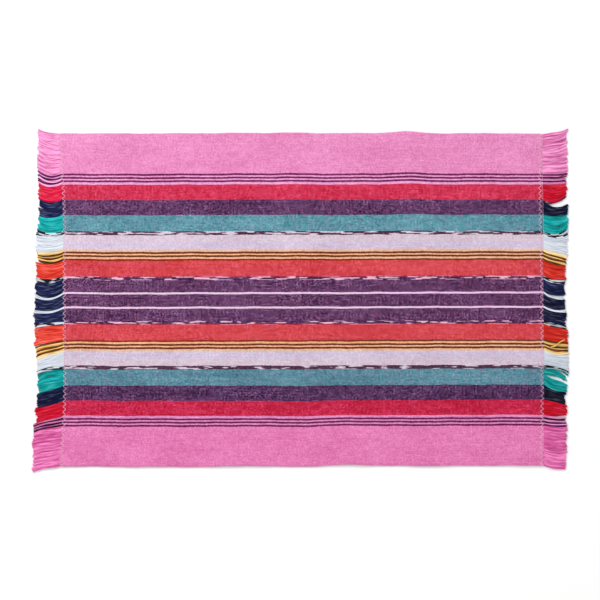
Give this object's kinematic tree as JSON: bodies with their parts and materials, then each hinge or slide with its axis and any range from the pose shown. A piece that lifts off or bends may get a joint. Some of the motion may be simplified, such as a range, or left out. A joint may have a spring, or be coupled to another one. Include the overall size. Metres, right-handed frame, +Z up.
{
  "type": "striped fringed flat-weave mat",
  "caption": "Flat-weave cotton mat with coloured stripes along its length, a zigzag stitch across each short end and a loose yarn fringe beyond it.",
  "frame": {"origin": "on the floor, under the middle of the mat's overall box", "axes": "+X along the warp yarns from the left fringe to the right one, +Y across the stripes towards the back selvedge, +Z up from the floor"},
  "size_m": [0.796, 0.5068, 0.0026],
  "materials": {
    "coral_cloth": "matte",
    "coral_yarn": "matte",
    "gold_brown_cloth": "matte",
    "gold_yarn": "matte",
    "ikat_cloth": "matte",
    "navy_cloth": "matte",
    "navy_yarn": "matte",
    "pink_cloth": "matte",
    "pink_yarn": "matte",
    "pinstripe_cloth": "matte",
    "red_cloth": "matte",
    "red_yarn": "matte",
    "stitch_thread": "matte",
    "teal_cloth": "matte",
    "teal_yarn": "matte",
    "weft_yarn": "matte",
    "white_cloth": "matte",
    "white_line_cloth": "matte",
    "white_yarn": "matte"
  },
  "bodies": {
    "root": {"bobbin_thread_left": "stitch_thread", "bobbin_thread_right": "stitch_thread", "coral_back": "coral_cloth", "coral_front": "coral_cloth", "fringe_left_coral_back": "coral_yarn", "fringe_left_coral_front": "coral_yarn", "fringe_left_gold_back": "gold_yarn", "fringe_left_gold_front": "gold_yarn", "fringe_left_navy_middle": "navy_yarn", "fringe_left_navy_outer_back": "navy_yarn", "fringe_left_navy_outer_front": "navy_yarn", "fringe_left_pink_back": "pink_yarn", "fringe_left_pink_front": "pink_yarn", "fringe_left_red_back": "red_yarn", "fringe_left_red_front": "red_yarn", "fringe_left_teal_back": "teal_yarn", "fringe_left_teal_front": "teal_yarn", "fringe_left_white_back": "white_yarn", "fringe_left_white_front": "white_yarn", "fringe_right_coral_back": "coral_yarn", "fringe_right_coral_front": "coral_yarn", "fringe_right_gold_back": "gold_yarn", "fringe_right_gold_front": "gold_yarn", "fringe_right_navy_middle": "navy_yarn", "fringe_right_navy_outer_back": "navy_yarn", "fringe_right_navy_outer_front": "navy_yarn", "fringe_right_pink_back": "pink_yarn", "fringe_right_pink_front": "pink_yarn", "fringe_right_red_back": "red_yarn", "fringe_right_red_front": "red_yarn", "fringe_right_teal_back": "teal_yarn", "fringe_right_teal_front": "teal_yarn", "fringe_right_white_back": "white_yarn", "fringe_right_white_front": "white_yarn", "gold_brown_back": "gold_brown_cloth", "gold_brown_front": "gold_brown_cloth", "ikat_inner_back": "ikat_cloth", "ikat_inner_front": "ikat_cloth", "ikat_outer_back": "ikat_cloth", "ikat_outer_front": "ikat_cloth", "navy_inner_back": "navy_cloth", "navy_inner_front": "navy_cloth", "navy_middle": "navy_cloth", "navy_outer_back": "navy_cloth", "navy_outer_front": "navy_cloth", "needle_thread_left": "stitch_thread", "needle_thread_right": "stitch_thread", "pink_border_back": "pink_cloth", "pink_border_front": "pink_cloth", "pinstripe_back": "pinstripe_cloth", "pinstripe_front": "pinstripe_cloth", "red_back": "red_cloth", "red_front": "red_cloth", "teal_back": "teal_cloth", "teal_front": "teal_cloth", "weft_turns": "weft_yarn", "white_back": "white_cloth", "white_front": "white_cloth", "white_lines": "white_line_cloth"}
  },
  "joints": []
}
